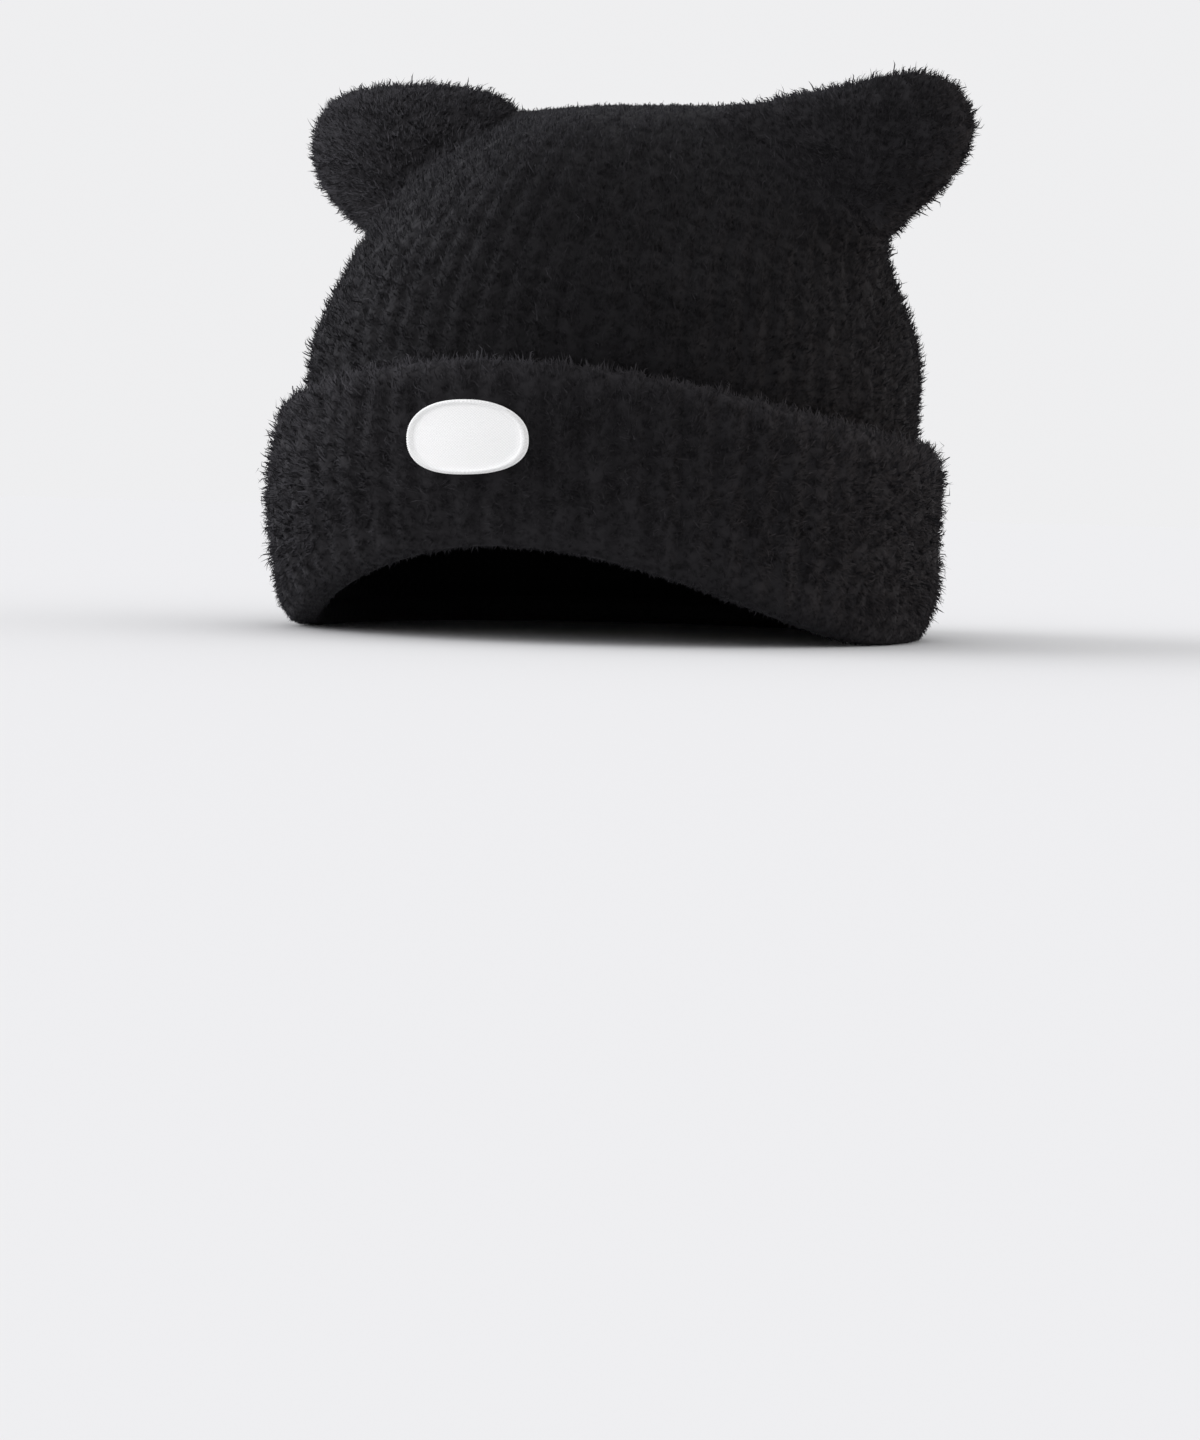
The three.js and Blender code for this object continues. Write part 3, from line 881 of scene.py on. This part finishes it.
def make_pile(name, roots, normals, facing, lay, length, tone, style, material):
    """One piece of pile: at each root a tuft of hairs along lay, of that length and tone.

    The hairs are shaded by facing, the way that the cloth under them faces, and a little by their own."""
    count = len(roots)
    across = unit(np.cross(normals, lay + LAY_NUDGE))
    along = np.cross(across, normals)
    hairs = style["long_hairs"] + style["short_hairs"]
    angle = 2 * np.pi * RANDOM.random((count, hairs))
    far = TUFT_RADIUS * np.sqrt(RANDOM.random((count, hairs)))
    outward = np.cos(angle)[..., None] * across[:, None] + np.sin(angle)[..., None] * along[:, None]
    offset = far[..., None] * outward
    is_long = np.arange(hairs) < style["long_hairs"]
    reach = length[:, None] * np.where(is_long, LONG_HAIR_SHARE, SHORT_HAIR_SHARE)
    reach = (reach * (HAIR_LEAST + HAIR_CHANCE * RANDOM.random((count, hairs))))[..., None]
    stray = RANDOM.normal(0, HAIR_STRAY, (count, hairs, 3))
    root = roots[:, None] + offset - ROOT_DEPTH * normals[:, None]
    rise = LONG_HAIR_RISE * is_long[:, None] * normals[:, None]
    tip = roots[:, None] + TIP_GATHER * offset + reach * (unit(lay[:, None] + rise) + stray)
    curl = RANDOM.normal(0, HAIR_CURL, (count, hairs, 3))
    bend = 0.5 * (root + tip) + reach * (HAIR_ARCH * normals[:, None] + curl)
    turned = np.where(is_long, 1, SHORT_HAIR_TURN)[None, :, None] * RANDOM.normal(0, 1, (count, hairs, 3))
    flat = unit(np.cross(tip - root, normals[:, None] + turned))
    faces_in = (np.cross(flat, tip - root) * normals[:, None]).sum(axis=-1, keepdims=True) < 0
    flat = np.where(faces_in, -flat, flat)
    half = 0.5 * np.where(is_long, LONG_HAIR_WIDTH, SHORT_HAIR_WIDTH)[None, :, None] * flat
    tuft_tone = tone[:, None] + RANDOM.normal(0, TUFT_TONE_SPREAD, (count, 1))
    hair_tone = tuft_tone + RANDOM.normal(0, HAIR_TONE_SPREAD, (count, hairs))
    shade = unit(SHADE_FACING * facing[:, None] + SHADE_LAY * lay[:, None] + SHADE_STRAY * stray)
    bend_half = BEND_WIDTH_SHARE * half

    def gather(rows, which, steps):
        """The chosen hairs' points, tones and shading normals, a row for each hair."""
        chosen = [np.broadcast_to(row, root.shape)[:, which].reshape(-1, 3) for row in rows]
        tones = [np.clip(hair_tone[:, which] + step, 0, 1).ravel() for step in steps]
        normal = shade[:, which].reshape(-1, 3)
        return np.stack(chosen, 1), np.stack(tones, 1), np.repeat(normal[:, None], len(rows), 1)

    # Each hair has painted shade at its root and painted light at its tip.
    long_points, long_tones, long_normals = gather(
        (root - half, root + half, bend - bend_half, bend + bend_half, tip),
        is_long,
        (ROOT_PAINTED_SHADE, ROOT_PAINTED_SHADE, 0, 0, TIP_PAINTED_LIGHT))
    short_points, short_tones, short_normals = gather(
        (root - half, root + half, tip),
        ~is_long,
        (ROOT_PAINTED_SHADE, ROOT_PAINTED_SHADE, TIP_PAINTED_LIGHT))
    first_points = len(LONG_HAIR_MAP) * np.arange(len(long_points))
    long_faces = first_points[:, None, None] + np.array(LONG_HAIR_FACES)
    short_faces = long_tones.size + np.arange(short_tones.size)
    points = np.vstack([long_points.reshape(-1, 3), short_points.reshape(-1, 3)])
    points[:, 2] = np.maximum(points[:, 2], FLOOR_CLEARANCE)
    triangles = np.vstack([long_faces.reshape(-1, 3), short_faces.reshape(-1, 3)])
    places = bake_places(len(long_points), len(short_points))
    piece = mesh_object(name, points, triangles, material, places, "OFBake")
    set_tone(piece, np.concatenate([long_tones.ravel(), short_tones.ravel()]))
    shades = np.vstack([long_normals.reshape(-1, 3), short_normals.reshape(-1, 3)])
    attribute = piece.data.attributes.new("custom_normal", "FLOAT_VECTOR", "POINT")
    attribute.data.foreach_set("vector", shades.astype(np.float32).ravel())
    return piece


def bake_places(long_count, short_count):
    """UV places for the hairs' points: each hair has a square of its own."""
    side = math.ceil(math.sqrt(long_count + short_count))
    index = np.arange(long_count + short_count)
    corner = np.stack([index % side, index // side], axis=-1)[:, None]
    long_places = corner[:long_count] + np.array(LONG_HAIR_MAP)
    short_places = corner[long_count:] + np.array(SHORT_HAIR_MAP)
    return np.vstack([long_places.reshape(-1, 2), short_places.reshape(-1, 2)]) / side


def grow_pile(points, triangles, weight, ridge, tone, style, lay_of, facing_of, trim_of, parts, material):
    """Scatters the tufts of one part of the hat and makes its pieces of pile.

    ridge and tone are values at the points: the ribs, and the yarn's tone.
    lay_of gives the direction that the pile is brushed towards at places on the surface,
    and facing_of the way that it faces as a whole, which runs smoothly from the crown to the ears.
    trim_of gives the share of its length that it keeps.
    parts names the pieces and says which places belong to each."""
    normals = vertex_normals(points, triangles)
    corners, shares = scatter(points, triangles, weight, style["tufts"] // QUICK_THINNING)
    root = blend(points, corners, shares)
    normal = unit(blend(normals, corners, shares))
    ridge = blend(ridge, corners, shares)
    tone = blend(tone, corners, shares)
    brush = lay_of(root, normal)
    brush = unit(brush - (brush * normal).sum(-1, keepdims=True) * normal)
    lean = style["lean"] * (LEAN_LEAST + LEAN_CHANCE * RANDOM.random((len(root), 1)))
    wander = RANDOM.normal(0, TUFT_WANDER, root.shape)
    lay = unit((1 - lean) * normal + lean * brush + wander)
    length = style["length"] * (TUFT_LEAST + TUFT_CHANCE * RANDOM.random(len(root)))
    length *= 1 + RIB_EXTRA_LENGTH * ridge
    length *= trim_of(root)
    facing = facing_of(root, normal)
    pieces = []
    for part, belongs in parts:
        own = belongs(root)
        tufts = (values[own] for values in (root, normal, facing, lay, length, tone))
        pieces.append(make_pile(part, *tufts, style, material))
    return pieces


def near_ears(places):
    """1 where places on the crown meet the ears, down to 0 away from them."""
    return sum(
        np.exp(-(np.minimum(0, depth_in_ear(places, *ear)) / EAR_BLEND) ** 2)
        for ear in EARS.values()
    )


def crown_facing(places, normals):
    """The crown's own way, turned towards the ears' front or back where they grow out of it."""
    return unit(normals + near_ears(places)[:, None] * front_or_back(places))


def ear_facing(places, normals):
    """The ears' own way, turned up and out, and towards their front or back near the crown."""
    near = np.exp(-(np.minimum(0, depth_in_crown(places)) / EAR_BLEND) ** 2)
    side = EAR_FACES_OUT * np.sign(places[:, 0])
    out = np.stack([side, np.zeros(len(places)), np.full(len(places), EAR_FACES_UP)], axis=-1)
    return unit(normals + near[:, None] * front_or_back(places) + out)


def short_on_top(places):
    """The crown's pile is shorter along the seam on top."""
    return np.interp(places[:, 2], SEAM_TRIM_HEIGHTS, (1, SEAM_TRIM))


def short_under_fold(places):
    """The cuff's pile is shorter under its fold."""
    turn = np.arctan2(places[:, 1], places[:, 0])
    return np.interp(places[:, 2] - lift(turn, 0), FOLD_TRIM_HEIGHTS, (FOLD_TRIM, 1))


def untrimmed(places):
    """The ears' pile keeps its length."""
    return np.ones(len(places))


def own_facing(places, normals):
    """The surface's own way."""
    return normals


def front_or_back(places):
    """A direction to the front or the back, whichever side of the ears a place is on, and a little up."""
    side = np.sign(places[:, 1] - back(EAR_MIDDLE_UP))
    return np.stack([np.zeros(len(places)), side, np.full(len(places), FRONT_FACES_UP)], axis=-1)


def is_front(places):
    """Places on the front half of the hat."""
    return places[:, 1] < 0


def is_back(places):
    """Places on the back half of the hat."""
    return ~is_front(places)


def anywhere(places):
    """All places."""
    return np.ones(len(places), bool)


def brushed_up(places, normals):
    """The crown's pile is brushed up towards the seam along the top."""
    return np.broadcast_to((0.0, 0.0, 1.0), places.shape)


def brushed_from_middle(places, normals):
    """The cuff's pile is brushed up over its crest, down under its fold and any way between."""
    way = np.clip((places[:, 2] - PARTING_HEIGHT) / PARTING_SPREAD, -1, 1)[:, None]
    anyhow = unit(RANDOM.normal(0, 1, places.shape))
    return np.sqrt(1 - way ** 2) * anyhow + way * np.array((0, 0, 1))


def brushed_out(places, normals):
    """The ears' pile is brushed out towards their edges, and up as the crown's is."""
    out = places[:, 0] - EAR_MIDDLE_OUT * np.sign(places[:, 0])
    up = places[:, 2] - EAR_MIDDLE_UP
    return unit(np.stack([out, np.zeros(len(places)), up + EAR_BRUSHED_UP], axis=-1))


def clear_of_patch(places):
    """Places on the cuff outside the patch."""
    middle = PATCH_CENTRE_HEIGHT + lift(FRONT, PATCH_CENTRE_HEIGHT) + slant(FRONT, PATCH_CENTRE_HEIGHT)
    x = (places[:, 0] - PATCH_CENTRE_X) / (0.5 * PATCH_WIDTH)
    z = (places[:, 2] - middle) / (0.5 * PATCH_HEIGHT)
    within = np.abs(x) ** PATCH_SQUARENESS + np.abs(z) ** PATCH_SQUARENESS < 1
    return ~(within & (places[:, 1] < 0))


# The lights and the camera.


def add_lamp(name, strength, place, colour, receivers):
    """A soft round lamp at a place in metres, aimed at the hat, that lights the receivers alone."""
    data = bpy.data.lights.new(name, "AREA")
    data.energy = strength
    data.shape = "DISK"
    data.size = LAMP_SIZE
    data.color = colour
    lamp = bpy.data.objects.new(name, data)
    lamp.location = place
    lamp.rotation_euler = (Vector(LAMP_AIM) - Vector(place)).to_track_quat("-Z", "Y").to_euler()
    lamp.light_linking.receiver_collection = receivers
    bpy.context.scene.collection.objects.link(lamp)


def add_sun():
    """A very soft key light from the upper left, which brings the floor to the sky's own tone."""
    data = bpy.data.lights.new("key", "SUN")
    data.energy = KEY_STRENGTH
    data.angle = math.radians(KEY_SPREAD)
    data.color = KEY_COLOUR
    lamp = bpy.data.objects.new("key", data)
    lamp.rotation_euler = (-Vector(KEY_FROM)).to_track_quat("-Z", "Y").to_euler()
    bpy.context.scene.collection.objects.link(lamp)


def add_camera():
    """The camera at the photograph's angle, a little above the floor and a little rolled."""
    around = math.radians(CAMERA_AZIMUTH)
    heading = math.radians(CAMERA_AZIMUTH + CAMERA_YAW)
    pitch = math.radians(CAMERA_PITCH)
    roll = math.radians(CAMERA_ROLL)
    level = Vector((math.cos(heading), math.sin(heading), 0))
    forward = math.cos(pitch)
    ahead = Vector((-math.sin(heading) * forward, math.cos(heading) * forward, -math.sin(pitch)))
    above = level.cross(ahead)
    right = level * math.cos(roll) + above * math.sin(roll)
    up = above * math.cos(roll) - level * math.sin(roll)
    data = bpy.data.cameras.new("camera")
    data.lens = CAMERA_LENS
    data.sensor_width = CAMERA_SENSOR
    camera = bpy.data.objects.new("camera", data)
    camera.rotation_euler = Matrix((right, up, -ahead)).transposed().to_euler()
    camera.location = (
        math.sin(around) * CAMERA_DISTANCE,
        -math.cos(around) * CAMERA_DISTANCE,
        CAMERA_HEIGHT,
    )
    bpy.context.scene.collection.objects.link(camera)
    bpy.context.scene.camera = camera


# The hat, put together.
knit = knit_material()
pile = pile_material()
crown, crown_skin, crown_faces, crown_crest, crown_tones = make_crown(knit)
cuff, cuff_skin, cuff_faces, cuff_crest, cuff_tones = make_cuff(knit)
patch = make_patch(patch_material())
ears = {name: make_ear(name, side, outline, knit) for name, (side, outline) in EARS.items()}

crown_middles = crown_skin[crown_faces].mean(axis=1)
turn_of = np.arctan2(crown_middles[:, 1], crown_middles[:, 0])
cuff_top = CUFF_HEIGHT + lift(turn_of, CUFF_HEIGHT) + slant(turn_of, CUFF_HEIGHT)
shown = crown_middles[:, 2] > cuff_top - BEHIND_CREST
for side, outline in EARS.values():
    shown &= depth_in_ear(crown_middles, side, outline) < 0
pieces = grow_pile(crown_skin, crown_faces, shown, crown_crest, crown_tones, PILE["crown"],
                   brushed_up, crown_facing, short_on_top,
                   (("crown_pile_front", is_front), ("crown_pile_back", is_back)), pile)
shown = clear_of_patch(cuff_skin[cuff_faces].mean(axis=1))
pieces += grow_pile(cuff_skin, cuff_faces, shown, cuff_crest, cuff_tones, PILE["cuff"],
                    brushed_from_middle, own_facing, short_under_fold,
                    (("cuff_pile_front", is_front), ("cuff_pile_back", is_back)), pile)
ear_points = np.vstack([points for _, points, _ in ears.values()])
shift = np.cumsum([0] + [len(points) for _, points, _ in ears.values()])
ear_faces = np.vstack([faces + start for (_, _, faces), start in zip(ears.values(), shift)])
# The ears' pile takes their painted lighter tone.
pieces += grow_pile(ear_points, ear_faces, np.ones(len(ear_faces)), np.zeros(len(ear_points)),
                    np.full(len(ear_points), EAR_PAINTED_LIGHT_TONE), PILE["ears"],
                    brushed_out, ear_facing, untrimmed, (("ear_pile", anywhere),), pile)

# What each piece stands for in the CAD.
ear_skins = {name: skin for name, (skin, _, _) in ears.items()}
stands_for = {"crown": crown, "cuff": cuff, "patch": patch, **ear_skins}
for node, piece in stands_for.items():
    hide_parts(node)
for piece in [*stands_for.values(), *pieces]:
    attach(piece, "root")

# The studio.
corners = FLOOR_HALF_WIDTH * np.array([(-1, -1, 0), (1, -1, 0), (1, 1, 0), (-1, 1, 0)], float)
floor = mesh_object("floor", corners, np.array([(0, 1, 2), (0, 2, 3)]), floor_material())

world = bpy.data.worlds.new("studio")
bpy.context.scene.world = world
world.use_nodes = True
world.node_tree.nodes["Background"].inputs["Color"].default_value = (*SKY_COLOUR, 1)
bpy.context.scene.view_settings.view_transform = "Standard"
add_sun()
hat = bpy.data.collections.new("hat")
for piece in [*stands_for.values(), *pieces]:
    hat.objects.link(piece)
for name, settings in LAMPS.items():
    add_lamp(name, receivers=hat, **settings)
add_camera()
